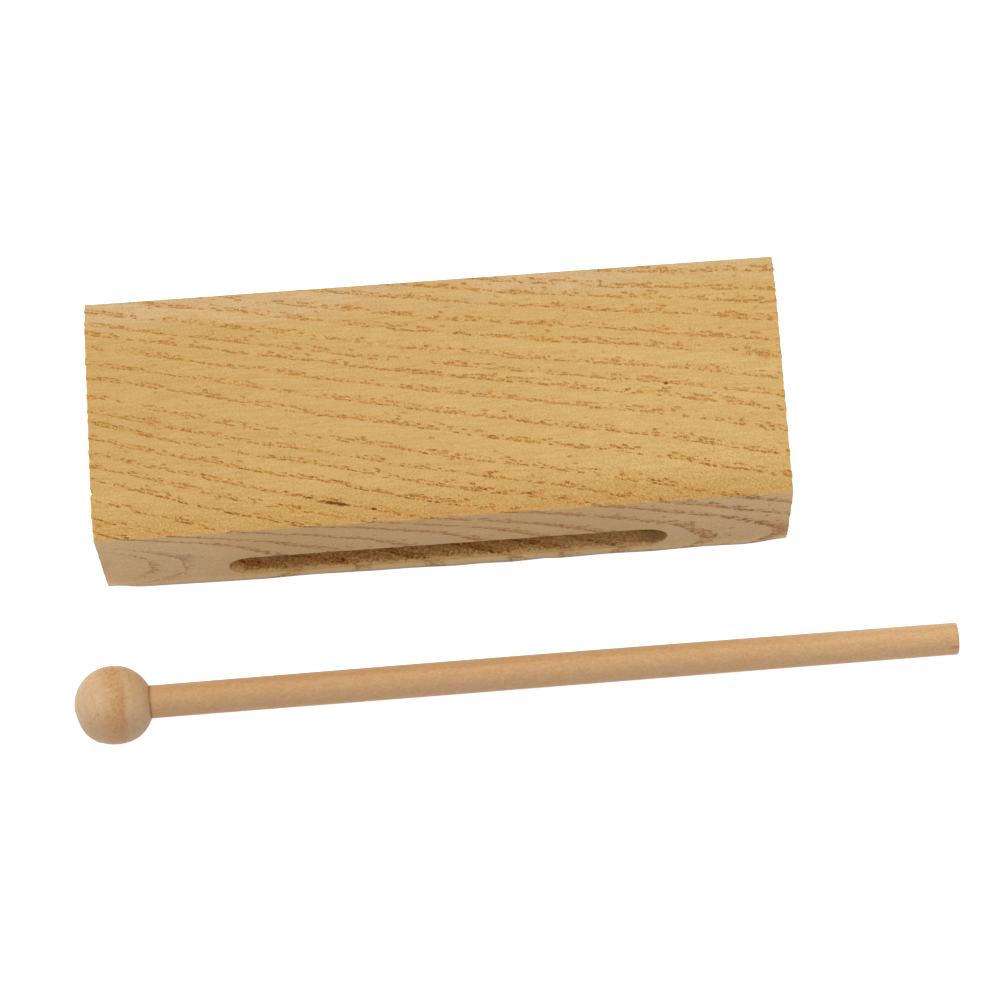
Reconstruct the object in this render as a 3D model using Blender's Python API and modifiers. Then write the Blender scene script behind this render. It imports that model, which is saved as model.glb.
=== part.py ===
"""A slotted wood block and its wooden beater, lying side by side on a table.

Metres, +Z up. The origin is the middle of the block's underside. X runs along the block, the
resonator slot opens towards -Y, and the beater lies in front of the slot with its ball to the left.
"""

import math

import bmesh
import bpy
from mathutils import Matrix, Vector

# Block, one piece of ring-porous hardwood
BLOCK_LENGTH = 0.180
BLOCK_DEPTH = 0.065
BLOCK_HEIGHT = 0.041
BLOCK_EDGE_EASE = 0.0005

# Resonator slot, routed into the front face by a cutter as thick as the slot is high
SLOT_LENGTH = 0.1150
SLOT_HEIGHT = 0.0132
SLOT_LIP = 0.0054
SLOT_BACK_WALL = 0.018
SLOT_OFFSET = 0.0007

# Ball of the beater, with the blind bore that takes the shaft
BALL_DIAMETER = 0.0205
BORE_DEPTH = 0.0125
BORE_MOUTH_EASE = 0.0003
BALL_STEPS = 22

# Shaft of the beater, a dowel that is a little stouter in the middle than at its tail
BEATER_LENGTH = 0.2312
SHAFT_HEAD_DIAMETER = 0.0086
SHAFT_MIDDLE_DIAMETER = 0.00872
SHAFT_TAIL_DIAMETER = 0.0084
SHAFT_END_EASE = 0.0004
GLUE_GAP = 0.0003

# Where the beater lies: its ball's middle along X, the free space to the block, and its slant
BALL_X = -0.0888
BEATER_SPACE = 0.0244
BEATER_SLANT = math.radians(0.82)

# Facets of the turned pieces and of the slot's round ends
TURNED_STEPS = 48
SLOT_END_STEPS = 16
CUT_MARGIN = 0.005
MERGE = 0.00001


def remove_everything():
    for old in list(bpy.data.objects):
        bpy.data.objects.remove(old)


def new_collection(name):
    collection = bpy.data.collections.new(name)
    bpy.context.scene.collection.children.link(collection)
    return collection


def new_material(name, colour, roughness):
    material = bpy.data.materials.new(name)
    material.use_nodes = True
    shader = material.node_tree.nodes["Principled BSDF"]
    shader.inputs["Base Color"].default_value = (*colour, 1.0)
    shader.inputs["Roughness"].default_value = roughness
    shader.inputs["Metallic"].default_value = 0.0
    material.diffuse_color = (*colour, 1.0)
    return material


def mesh_object(name, mesh, collection, material=None):
    piece = bpy.data.objects.new(name, mesh)
    collection.objects.link(piece)
    if material is not None:
        mesh.materials.append(material)
    return piece


def turned(name, profile, collection, material):
    """A solid turned on its own X axis. The profile is (x, radius) points from the right end to the left."""
    mesh = bpy.data.meshes.new(name)
    points = [(x, 0.0, radius) for x, radius in profile]
    edges = [(i, i + 1) for i in range(len(points) - 1)]
    mesh.from_pydata(points, edges, [])
    piece = mesh_object(name, mesh, collection, material)
    screw = piece.modifiers.new("Turn", "SCREW")
    screw.axis = "X"
    screw.steps = TURNED_STEPS
    screw.render_steps = TURNED_STEPS
    screw.use_merge_vertices = True
    screw.merge_threshold = MERGE
    screw.use_smooth_shade = True
    return piece


def stadium(length, height, steps):
    """The outline of a slot with half-round ends, as (x, z) points about its middle."""
    radius = height / 2
    reach = length / 2 - radius
    outline = []
    for side in (1, -1):
        for i in range(steps + 1):
            angle = math.pi * (i / steps - 0.5)
            outline.append((side * (reach + radius * math.cos(angle)), side * radius * math.sin(angle)))
    return outline


def slot_cutter(collection):
    """The space that the router takes out of the block."""
    depth = BLOCK_DEPTH - SLOT_BACK_WALL
    middle_z = SLOT_LIP + SLOT_HEIGHT / 2
    front = -BLOCK_DEPTH / 2
    mesh = bpy.data.meshes.new("slot_cutter")
    bm = bmesh.new()
    outline = stadium(SLOT_LENGTH, SLOT_HEIGHT, SLOT_END_STEPS)
    rim = [bm.verts.new((SLOT_OFFSET + x, front - CUT_MARGIN, middle_z + z)) for x, z in outline]
    face = bm.faces.new(rim)
    pushed = bmesh.ops.extrude_face_region(bm, geom=[face])
    moved = [item for item in pushed["geom"] if isinstance(item, bmesh.types.BMVert)]
    bmesh.ops.translate(bm, verts=moved, vec=Vector((0.0, CUT_MARGIN + depth, 0.0)))
    bmesh.ops.recalc_face_normals(bm, faces=bm.faces)
    bm.to_mesh(mesh)
    bm.free()
    cutter = mesh_object("slot_cutter", mesh, collection)
    cutter.display_type = "WIRE"
    cutter.hide_render = True
    return cutter


def make_block(collection, cutters, material):
    """A sawn block with lightly eased edges and one routed slot."""
    mesh = bpy.data.meshes.new("wood_block")
    bm = bmesh.new()
    bmesh.ops.create_cube(bm, size=1.0)
    bmesh.ops.scale(bm, vec=Vector((BLOCK_LENGTH, BLOCK_DEPTH, BLOCK_HEIGHT)), verts=bm.verts)
    bm.to_mesh(mesh)
    bm.free()
    mesh.transform(Matrix.Translation((0.0, 0.0, BLOCK_HEIGHT / 2)))
    block = mesh_object("wood_block", mesh, collection, material)
    ease = block.modifiers.new("Eased edges", "BEVEL")
    ease.width = BLOCK_EDGE_EASE
    ease.segments = 2
    ease.limit_method = "ANGLE"
    slot = block.modifiers.new("Slot", "BOOLEAN")
    slot.operation = "DIFFERENCE"
    slot.solver = "EXACT"
    slot.object = slot_cutter(cutters)
    return block


def bore_mouth_x():
    """How far right of the ball's middle the bore breaks out of the ball."""
    return math.sqrt((BALL_DIAMETER / 2) ** 2 - bore_radius() ** 2)


def bore_radius():
    return SHAFT_HEAD_DIAMETER / 2 + GLUE_GAP


def make_ball(collection, material, beater):
    """A turned ball with a blind bore that opens to the right."""
    radius = BALL_DIAMETER / 2
    mouth_angle = math.asin((bore_radius() + BORE_MOUTH_EASE) / radius)
    mouth_x = radius * math.cos(mouth_angle)
    bore_end = bore_mouth_x() - BORE_DEPTH
    profile = [(bore_end, 0.0), (bore_end, bore_radius()), (mouth_x - BORE_MOUTH_EASE, bore_radius())]
    for i in range(BALL_STEPS + 1):
        angle = mouth_angle + (math.pi - mouth_angle) * i / BALL_STEPS
        distance = 0.0 if i == BALL_STEPS else radius * math.sin(angle)
        profile.append((radius * math.cos(angle), distance))
    ball = turned("beater_ball", profile, collection, material)
    ball.parent = beater
    return ball


def make_shaft(collection, material, beater):
    """A dowel from the bottom of the ball's bore to the tail, with both ends lightly eased."""
    start = bore_mouth_x() - BORE_DEPTH + GLUE_GAP
    tail = BEATER_LENGTH - BALL_DIAMETER / 2
    head_radius = SHAFT_HEAD_DIAMETER / 2
    tail_radius = SHAFT_TAIL_DIAMETER / 2
    profile = [
        (tail, 0.0),
        (tail, tail_radius - SHAFT_END_EASE),
        (tail - SHAFT_END_EASE, tail_radius),
        (tail / 2, SHAFT_MIDDLE_DIAMETER / 2),
        (bore_mouth_x(), head_radius),
        (start + SHAFT_END_EASE, head_radius),
        (start, head_radius - SHAFT_END_EASE),
        (start, 0.0),
    ]
    shaft = turned("beater_shaft", profile, collection, material)
    shaft.parent = beater
    return shaft


def beater_placement(collection):
    """The ball and the tail of the shaft both touch the table, so the beater leans a little."""
    empty = bpy.data.objects.new("beater", None)
    collection.objects.link(empty)
    ball_radius = BALL_DIAMETER / 2
    tail_radius = SHAFT_TAIL_DIAMETER / 2
    contact = BEATER_LENGTH - ball_radius - SHAFT_END_EASE
    lean = math.asin(ball_radius / math.hypot(contact, tail_radius)) - math.atan2(tail_radius, contact)
    ball_y = -BLOCK_DEPTH / 2 - BEATER_SPACE - ball_radius
    empty.location = (BALL_X, ball_y, ball_radius)
    empty.rotation_euler = (0.0, lean, BEATER_SLANT)
    return empty


def main():
    remove_everything()
    parts = new_collection("Wood block and beater")
    cutters = new_collection("Cutters")
    cutters.hide_render = True
    sawn_wood = new_material("Sawn ring-porous hardwood", (0.62, 0.40, 0.15), 0.75)
    turned_wood = new_material("Turned pale hardwood", (0.58, 0.37, 0.21), 0.6)
    dowel_wood = new_material("Sanded dowel", (0.60, 0.37, 0.19), 0.55)
    make_block(parts, cutters, sawn_wood)
    beater = beater_placement(parts)
    make_ball(parts, turned_wood, beater)
    make_shaft(parts, dowel_wood, beater)


main()
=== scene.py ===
"""The looks of a slotted wood block and its wooden beater, on a plain white table.

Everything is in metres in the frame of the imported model: X along the block, the slot opens towards
-Y, +Z up. Patterns in the wood are worked out in millimetres.
"""

import math

import bmesh
import bpy
import numpy as np
from mathutils import Matrix, Vector


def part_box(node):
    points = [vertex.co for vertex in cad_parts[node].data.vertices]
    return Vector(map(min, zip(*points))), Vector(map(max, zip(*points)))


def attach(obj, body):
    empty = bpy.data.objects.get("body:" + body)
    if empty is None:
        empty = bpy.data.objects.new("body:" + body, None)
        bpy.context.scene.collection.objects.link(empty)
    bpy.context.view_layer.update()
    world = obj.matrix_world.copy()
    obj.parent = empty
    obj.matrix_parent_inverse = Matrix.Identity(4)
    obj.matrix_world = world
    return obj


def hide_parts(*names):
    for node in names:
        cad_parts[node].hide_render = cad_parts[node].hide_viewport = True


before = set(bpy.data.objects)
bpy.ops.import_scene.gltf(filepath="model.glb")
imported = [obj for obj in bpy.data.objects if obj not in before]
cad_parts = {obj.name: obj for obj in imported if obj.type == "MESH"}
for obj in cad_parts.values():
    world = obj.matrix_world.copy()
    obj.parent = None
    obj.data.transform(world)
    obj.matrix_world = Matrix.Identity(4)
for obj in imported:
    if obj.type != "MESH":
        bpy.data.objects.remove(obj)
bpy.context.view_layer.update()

MM = 0.001

# The block in millimetres: its front and back face along Y, its ends along X, and its slot
BLOCK_LOW, BLOCK_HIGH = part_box("wood_block")
LENGTH = (BLOCK_HIGH.x - BLOCK_LOW.x) / MM
DEPTH = (BLOCK_HIGH.y - BLOCK_LOW.y) / MM
HEIGHT = (BLOCK_HIGH.z - BLOCK_LOW.z) / MM
END = LENGTH / 2
FRONT = -DEPTH / 2
BACK = DEPTH / 2
SLOT_LENGTH = 115.0
SLOT_HEIGHT = 13.2
SLOT_LIP = 5.4
SLOT_REACH = 47.0
SLOT_OFFSET = 0.7

# How far the block's edges and the slot's rim are rounded, and how far the block is out of square: its
# ends shift along X by this share of the way back
ARRIS = 0.2
SLOT_ARRIS = 0.35
PLAN_SKEW = 0.008

# The camera: a long lens that looks steeply down, turned a little anticlockwise
LENS = 162.13
SENSOR = 36.0
CAMERA_TARGET = Vector((0.01535, -0.0154, 0.0))
CAMERA_AZIMUTH = math.radians(-1.7366)
CAMERA_ELEVATION = math.radians(71.83)
CAMERA_DISTANCE = 1.19758
CAMERA_ROLL = math.radians(-2.431)


def srgb(red, green, blue):
    """A colour as a picture editor shows it, made linear."""
    linear = []
    for value in (red, green, blue):
        share = value / 255
        linear.append(share / 12.92 if share <= 0.04045 else ((share + 0.055) / 1.055) ** 2.4)
    return (*linear, 1.0)


def palette(**colours):
    """Named colours, each given as a picture editor shows it."""
    return {name: srgb(*colour) for name, colour in colours.items()}


class Pattern:
    """Adds nodes to a shader or geometry tree, so that a pattern can be written as a formula."""

    def __init__(self, tree):
        self.tree = tree

    def node(self, kind, **settings):
        made = self.tree.nodes.new(kind)
        for name, value in settings.items():
            setattr(made, name, value)
        return made

    def put(self, socket, value):
        if isinstance(value, bpy.types.NodeSocket):
            self.tree.links.new(value, socket)
        else:
            socket.default_value = value

    def filled(self, kind, *values, **settings):
        """A node with values in its first inputs."""
        made = self.node(kind, **settings)
        for socket, value in zip(made.inputs, values):
            self.put(socket, value)
        return made

    def named(self, kind, values, **settings):
        """A node with values in the inputs of these names."""
        made = self.node(kind, **settings)
        for name, value in values.items():
            self.put(made.inputs[name], value)
        return made

    def math(self, operation, *values):
        return self.filled("ShaderNodeMath", *values, operation=operation).outputs[0]

    def add(self, *values):
        result = values[0]
        for value in values[1:]:
            result = self.math("ADD", result, value)
        return result

    def times(self, *values):
        result = values[0]
        for value in values[1:]:
            result = self.math("MULTIPLY", result, value)
        return result

    def line(self, value, gain, offset):
        """value * gain + offset"""
        return self.math("MULTIPLY_ADD", value, gain, offset)

    def less(self, first, second):
        return self.math("SUBTRACT", first, second)

    def absolute(self, value):
        return self.math("ABSOLUTE", value)

    def highest(self, first, second):
        return self.math("MAXIMUM", first, second)

    def off_middle(self, value, amount):
        """How far a value from 0 to 1 is from its middle, times an amount."""
        return self.times(self.less(value, 0.5), amount)

    def power_sum(self, variable, terms):
        """terms[0] + terms[1] * variable + terms[2] * variable squared, and so on."""
        result = terms[-1]
        for term in reversed(terms[:-1]):
            result = self.line(variable, result, term)
        return result

    def fade(self, value, start, end, low=0.0, high=1.0):
        """Smooth change from low to high while value goes from start to end."""
        settings = {"interpolation_type": "SMOOTHSTEP"}
        return self.filled("ShaderNodeMapRange", value, start, end, low, high, **settings).outputs[0]

    def between(self, value, start, full, falling, end):
        """0 up to start, 1 from full to falling, and 0 again from end on."""
        return self.times(self.fade(value, start, full), self.fade(value, falling, end, 1.0, 0.0))

    def mix_values(self, share, first, second):
        return self.line(share, self.less(second, first), first)

    def xyz(self, vector):
        return self.filled("ShaderNodeSeparateXYZ", vector).outputs

    def vector(self, x, y, z):
        return self.filled("ShaderNodeCombineXYZ", x, y, z).outputs[0]

    def vector_math(self, operation, *values):
        return self.filled("ShaderNodeVectorMath", *values, operation=operation).outputs

    def scaled(self, vector, x, y, z):
        return self.vector_math("MULTIPLY", vector, (x, y, z))[0]

    def in_millimetres(self, place):
        return self.scaled(place, 1 / MM, 1 / MM, 1 / MM)

    def noise(self, place, x=1.0, y=1.0, z=1.0, detail=2.0, roughness=0.5):
        """Cloudy noise from 0 to 1, x, y and z times as fine along the axes."""
        stretched = self.scaled(place, x, y, z)
        values = {"Vector": stretched, "Scale": 1.0, "Detail": detail, "Roughness": roughness}
        return self.named("ShaderNodeTexNoise", values).outputs[0]

    def swing(self, size, place, x, y, z, detail=2.0):
        """Noise about zero, up to about size either way."""
        return self.line(self.noise(place, x, y, z, detail), 2 * size, -size)

    def cells(self, vector, randomness=1.0):
        """Scattered cells: each one's middle, and a colour drawn for it."""
        values = {"Vector": vector, "Scale": 1.0, "Randomness": randomness}
        made = self.named("ShaderNodeTexVoronoi", values)
        return made.outputs["Position"], made.outputs["Color"]

    def stretched(self, first, second, x=1.0, y=1.0, z=1.0):
        """The distance between two places, with each axis counted x, y or z times."""
        apart = self.vector_math("SUBTRACT", first, second)[0]
        return self.vector_math("LENGTH", self.scaled(apart, x, y, z))["Value"]

    def mix(self, share, first, second):
        made = self.node("ShaderNodeMix", data_type="RGBA")
        for index, value in ((0, share), (6, first), (7, second)):
            self.put(made.inputs[index], value)
        return made.outputs[2]

    def coats(self, colour, *layers):
        """A colour with others laid over it in turn: each is the factors of its share, then its colour."""
        for *factors, over in layers:
            colour = self.mix(self.times(*factors), colour, over)
        return colour

    def ramp(self, value, stops):
        """A colour for each value from 0 to 1, blended between the stops."""
        made = self.filled("ShaderNodeValToRGB", value)
        elements = made.color_ramp.elements
        while len(elements) < len(stops):
            elements.new(0.5)
        for element, (position, colour) in zip(elements, stops):
            element.position = position
            element.color = colour
        return made.outputs[0]

    def toned(self, colour, amount):
        """A wood colour made lighter or darker by a share: pale wood is also less yellow."""
        gains = [self.line(amount, weight, 1.0) for weight in (0.5, 1.0, 1.8)]
        return self.vector_math("MULTIPLY", colour, self.vector(*gains))[0]

    def bump(self, shader, height):
        """Relief in millimetres on the shader's normal."""
        made = self.named("ShaderNodeBump", {"Strength": 1.0, "Distance": MM, "Height": height})
        self.put(shader.inputs["Normal"], made.outputs[0])

    def curve(self, value, points):
        """A curve through points in the unit square, straight from point to point."""
        made = self.named("ShaderNodeFloatCurve", {"Value": value})
        line = made.mapping.curves[0]
        while len(line.points) < len(points):
            line.points.new(0.5, 0.5)
        for point, (x, y) in zip(line.points, points):
            point.location = (x, y)
            point.handle_type = "VECTOR"
        made.mapping.update()
        return made.outputs[0]

    def group(self, tree, **values):
        kind = "ShaderNodeGroup" if tree.bl_idname == "ShaderNodeTree" else "GeometryNodeGroup"
        return self.named(kind, values, node_tree=tree).outputs


def new_group(name, kind, inputs, outputs):
    """An empty node group and its input and output nodes. Each socket is (name, type, default)."""
    tree = bpy.data.node_groups.new(name, kind)
    for direction, sockets in (("INPUT", inputs), ("OUTPUT", outputs)):
        for label, form, default in sockets:
            made = tree.interface.new_socket(label, in_out=direction, socket_type="NodeSocket" + form)
            if default is not None:
                made.default_value = default
    entry = tree.nodes.new("NodeGroupInput")
    leave = tree.nodes.new("NodeGroupOutput")
    return tree, Pattern(tree), entry.outputs, leave.inputs


# Bare wood shines less than a painted or polished face
RAW_WOOD_GLOSS = 0.3

# The colours of the block's sawn and planed faces, of its torn slot and of its ends. Late wood is the
# ground between the rows of vessels, and a halo is the stained wood round each opened vessel.
SAWN = palette(
    late_left=(209, 167, 101),
    late_right=(218, 176, 108),
    late_front=(200, 153, 84),
    late_back=(214, 180, 134),
    early=(206, 152, 84),
    dust=(164, 136, 122),
    halo=(214, 144, 52),
    # Painted highlights: pale glints on torn fibres, more of them near the front
    cream=(238, 202, 142),
    cream_front=(236, 190, 112),
    ember=(224, 152, 46),
    dark_streak=(116, 60, 0),
)
PLANED = palette(
    late_middle=(204, 163, 107),
    late_ends=(211, 172, 119),
    # Painted light: the front face made paler low down
    foot=(229, 188, 127),
    # Painted shade: a grey band along the rounded bottom edge of the front
    lower_edge=(176, 158, 142),
    early=(198, 146, 80),
    halo=(178, 120, 52),
    dark_streak=(104, 62, 22),
)
TORN = palette(
    mouth_dark=(206, 138, 66),
    mouth_light=(255, 212, 138),
    # Painted shade: darker colours for the slot's floor deeper in
    inside_dark=(166, 114, 54),
    inside_light=(226, 168, 96),
    early=(200, 122, 36),
    halo=(210, 128, 24),
    bead=(128, 68, 8),
    # Painted shade: the slot's right end, out of the light
    right_end=(156, 116, 66),
    # Painted highlight: the bright line along the slot's lower lip
    lip=(255, 204, 124),
    right=(240, 190, 122),
)
CUT_END = palette(late=(224, 174, 104), early=(214, 152, 72), bead=(176, 118, 58))

# The colours of opened vessels, from the darkest to the palest, on a sawn and on a planed face
SAWN_BEADS = (
    (0.0, srgb(88, 56, 42)),
    (0.2, srgb(132, 84, 46)),
    (0.42, srgb(168, 106, 42)),
    (0.65, srgb(198, 130, 46)),
    (1.0, srgb(214, 156, 78)),
)
PLANED_BEADS = (
    (0.0, srgb(102, 60, 22)),
    (0.3, srgb(148, 92, 26)),
    (0.65, srgb(180, 120, 38)),
    (1.0, srgb(206, 152, 82)),
)

# Dark streaks and dots in the wood: the middle, half the length and the width, and the slope to the back
# and upwards, along the block
DARK_STREAKS = (
    ((-27.4, -26.6, 41.0), 6.0, 0.72, -0.23, 0.0),
    ((-33.8, -24.5, 41.0), 1.1, 0.4, -0.2, 0.0),
    ((-17.5, -28.8, 41.0), 1.3, 0.5, -0.15, 0.0),
    ((59.9, -0.3, 41.0), 0.85, 0.65, 0.0, 0.0),
    ((10.4, -32.5, 37.7), 2.6, 0.9, 0.0, 0.1),
    ((29.2, -32.5, 27.8), 2.2, 0.8, 0.0, -0.15),
)

# How the growth rings lie in the block: u runs from -1 to 1 along it, v from -1 to 1 from front to
# back, and w from 0 at the top to 1 at the underside. Coefficients are millimetres.
RINGS_ALONG = (17.61, -3.92, 1.26)
RINGS_TWIST = (-3.98, -0.19, -1.32)
RINGS_SPREAD = -0.69
RINGS_CUP = 0.82
RINGS_DOWN = (-32.95, 19.56, 5.22, -5.35)
RINGS_CURL = (21.78, -35.21, -3.07, -0.48)
RINGS_HOOK = (-1.93, 18.67, 4.69)

# The width of each year's growth in millimetres, from the front of the block to its back, and where
# the first of these years began
RING_FIRST = -67.9
RING_WIDTHS = (
    3.3, 2.0, 6.9, 4.1, 5.0, 5.9, 4.0, 3.9, 4.9, 4.5, 3.8, 4.2, 6.8, 5.0, 5.5, 4.7, 3.0, 4.0, 5.0, 3.8,
    5.0, 3.7, 3.0, 4.5, 4.6,
)

# The stretch across the rings that the count of years covers, and the widest year it can hold
RING_ORIGIN = -80.0
RING_SPAN = 130.0
WIDEST_RING = 10.0


def across_rings(p, x, y, z):
    """How far a point lies across the growth rings, in millimetres, rising from front to back."""
    u = p.math("DIVIDE", x, END)
    v = p.math("DIVIDE", y, BACK)
    w = p.line(z, -1 / HEIGHT, 1.0)
    along = p.times(u, p.power_sum(u, RINGS_ALONG))
    twist = p.times(u, v, p.power_sum(u, RINGS_TWIST))
    spread = p.times(u, v, v, RINGS_SPREAD)
    cup = p.times(v, v, RINGS_CUP)
    hook = p.power_sum(u, RINGS_HOOK)
    curl = p.line(w, hook, p.power_sum(u, RINGS_CURL))
    down = p.times(w, p.line(w, curl, p.power_sum(u, RINGS_DOWN)))
    return p.add(p.times(v, BACK), along, twist, spread, cup, down)


def ring_knots():
    """Curve points for the years' count over the distance across the rings, and for their widths."""
    count = len(RING_WIDTHS) + 2
    starts = [RING_FIRST]
    for width in RING_WIDTHS:
        starts.append(starts[-1] + width)
    years = [(0.0, 0.0)]
    for i, start in enumerate(starts):
        years.append(((start - RING_ORIGIN) / RING_SPAN, (i + 1) / count))
    years.append((1.0, 1.0))
    widths = [(0.0, 0.5)]
    for i, width in enumerate(RING_WIDTHS):
        widths.append(((i + 1.5) / count, width / WIDEST_RING))
    widths.append((1.0, 0.5))
    return count, years, widths


def timber_group(kind):
    """Ring-porous timber at a place given in metres, for a shader or a geometry tree.

    Each year starts with two loose rows of large vessels, which a saw opens as short dark beads.
    """
    results = ("Early wood", "Bead", "Halo", "Bead tone", "Year tone")
    tree, p, given, wanted = new_group(
        "Ring-porous grain " + kind[:6].lower(),
        kind,
        [
            ("Position", "Vector", None),
            ("Bead length", "Float", 1.9),
            ("Bead width", "Float", 0.85),
            ("Loose rows", "Float", 1.0),
        ],
        [(name, "Float", None) for name in results],
    )
    place = p.in_millimetres(given["Position"])
    x, y, z = p.xyz(place)
    sway = p.swing(1.1, place, 0.03, 0.08, 0.08, detail=1.0)
    shiver = p.swing(0.4, place, 0.25, 0.8, 0.8)
    across = p.add(across_rings(p, x, y, z), sway, shiver)
    share = p.line(across, 1 / RING_SPAN, -RING_ORIGIN / RING_SPAN)
    count, year_knots, width_knots = ring_knots()
    years = p.times(p.curve(share, year_knots), float(count))
    year = p.math("FLOOR", years)
    middle_of_year = p.line(year, 1 / count, 0.5 / count)
    width = p.times(p.curve(middle_of_year, width_knots), WIDEST_RING)
    past = p.times(p.math("FRACT", years), width)

    row = p.math("DIVIDE", past, given["Bead width"])
    first_row = p.fade(row, 0.9, 1.1, 1.0, 0.0)
    second_row = p.times(given["Loose rows"], p.between(row, 0.9, 1.1, 1.8, 2.1))
    scatter = p.times(given["Loose rows"], p.fade(row, 1.8, 2.1), p.fade(row, 2.4, 3.0, 0.06, 0.01))
    chain = p.scaled(p.vector(x, across, z), 0.08, 0.6, 0.6)
    kept = p.line(given["Loose rows"], -0.1, 1.1)
    first_chain = p.times(kept, p.fade(p.noise(chain, detail=3.0), 0.3, 0.56, 0.3, 0.92))
    second_chain = p.fade(p.noise(chain, 1.4, 1.3, 1.3, detail=3.0), 0.4, 0.62, 0.0, 0.75)
    early = p.add(p.times(first_row, first_chain), p.times(second_row, second_chain))

    apart_each_year = p.times(year, 7.3)
    beads = p.vector(
        p.math("DIVIDE", x, given["Bead length"]),
        row,
        p.add(p.math("DIVIDE", z, given["Bead width"]), apart_each_year),
    )
    middle, drawn = p.cells(beads, randomness=0.65)
    chance, tone, _ = p.xyz(drawn)
    present = p.fade(p.less(p.add(early, scatter), chance), -0.05, 0.05)
    crumble = p.noise(place, 2.2, 2.4, 2.4)
    reach = p.add(p.off_middle(crumble, 1.6), p.stretched(beads, middle, 0.85, 1.4, 0.7))
    patches = p.noise(place, 0.5, 1.2, 1.2, detail=1.0)
    # Each bead darkens towards its middle: painted shade in the open vessel
    bead_tone = p.add(p.times(tone, 0.5), p.fade(patches, 0.3, 0.7, 0.0, 0.35), p.times(reach, 0.4))
    year_tone = p.named("ShaderNodeTexWhiteNoise", {"W": year}, noise_dimensions="1D").outputs["Value"]
    p.put(wanted["Early wood"], early)
    p.put(wanted["Bead"], p.times(present, p.fade(reach, 0.55, 0.2)))
    p.put(wanted["Halo"], p.times(present, p.fade(reach, 0.85, 0.35)))
    p.put(wanted["Bead tone"], bead_tone)
    p.put(wanted["Year tone"], year_tone)
    return tree


def new_material(name):
    """A material, its pattern writer, its Principled shader and its Object coordinates in metres."""
    material = bpy.data.materials.new(name)
    material.use_nodes = True
    tree = material.node_tree
    p = Pattern(tree)
    shader = tree.nodes["Principled BSDF"]
    place = p.node("ShaderNodeTexCoord").outputs["Object"]
    return material, p, shader, place


def finish_wood(p, shader, colour, shade, roughness, relief):
    """Puts a toned colour, a roughness and a relief on the shader."""
    p.put(shader.inputs["Base Color"], p.toned(colour, shade))
    p.put(shader.inputs["Roughness"], roughness)
    p.bump(shader, relief)


def dark_streaks(p, mm):
    """1 on the dark streaks and dots, 0 elsewhere, at a place in millimetres."""
    ragged = p.noise(mm, 0.9, 2.5, 2.5)
    found = 0.0
    for middle, half_length, half_width, to_back, upwards in DARK_STREAKS:
        x, y, z = (p.less(value, start) for value, start in zip(p.xyz(mm), middle))
        offset = p.vector(
            p.math("DIVIDE", x, half_length),
            p.math("DIVIDE", p.line(x, -to_back, y), half_width),
            p.math("DIVIDE", p.line(x, -upwards, z), half_width),
        )
        away = p.add(p.stretched(offset, (0.0, 0.0, 0.0)), p.times(ragged, 1.2))
        found = p.highest(found, p.fade(away, 1.5, 0.9))
    return found


def square_x(p, x, y):
    """Where a point would lie along X if the block were sawn square."""
    return p.line(p.less(y, FRONT), -PLAN_SKEW, x)


def on_cut_ends(p, x, y):
    """1 on the sawn ends, 0 elsewhere. The ends fall away at their front and back corners."""
    (_, _, left_front, left_back, _), (_, _, right_front, right_back, _) = END_SHAPES
    fall = p.add(
        p.times(p.fade(y, FALL_START * FRONT, FRONT), p.fade(x, -1.0, 1.0, left_front, right_front)),
        p.times(p.fade(y, FALL_START * BACK, BACK), p.fade(x, -1.0, 1.0, left_back, right_back)),
    )
    return p.fade(p.add(p.absolute(square_x(p, x, y)), fall), END - 0.3, END - 0.1)


def sawn_colour(p, mm, grain, clouds):
    """The rough faces: yellow and dusty, with orange round the opened vessels, paler to the back, and with
    painted glints on the torn fibres.
    """
    x, y, _ = p.xyz(mm)
    early = grain["Early wood"]
    to_front = p.fade(y, FRONT + 12.0, FRONT)
    to_back = p.times(p.fade(y, BACK - 14.0, BACK), p.fade(clouds, 0.3, 0.6))
    dust = p.fade(p.noise(mm, 2.1, 2.1, 2.1, detail=1.0), 0.62, 0.74)
    # Painted highlights: pale glints where torn fibres catch the light
    cream = p.fade(p.noise(mm, 2.4, 2.8, 2.8, detail=1.0), 0.56, 0.68)
    ember = p.fade(p.noise(mm, 1.8, 2.6, 2.6, detail=1.0), 0.5, 0.64)
    strength = p.times(p.fade(y, BACK - 25.0, FRONT, 0.58, 1.0), p.fade(x, 20.0, 70.0, 1.0, 0.88))
    return p.coats(
        p.mix(p.fade(x, -END, END), SAWN["late_left"], SAWN["late_right"]),
        (to_front, 0.9, SAWN["late_front"]),
        (to_back, 0.8, SAWN["late_back"]),
        (early, 0.16, SAWN["early"]),
        (dust, p.fade(early, 0.0, 0.6, 0.12, 0.5), SAWN["dust"]),
        (grain["Halo"], 0.56, SAWN["halo"]),
        (cream, p.fade(early, 0.0, 0.6, 0.04, 0.25), SAWN["cream"]),
        (cream, to_front, 0.35, SAWN["cream_front"]),
        (ember, p.fade(early, 0.0, 0.6, 0.0, 0.3), SAWN["ember"]),
        (grain["Bead"], strength, p.ramp(grain["Bead tone"], SAWN_BEADS)),
    )


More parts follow.
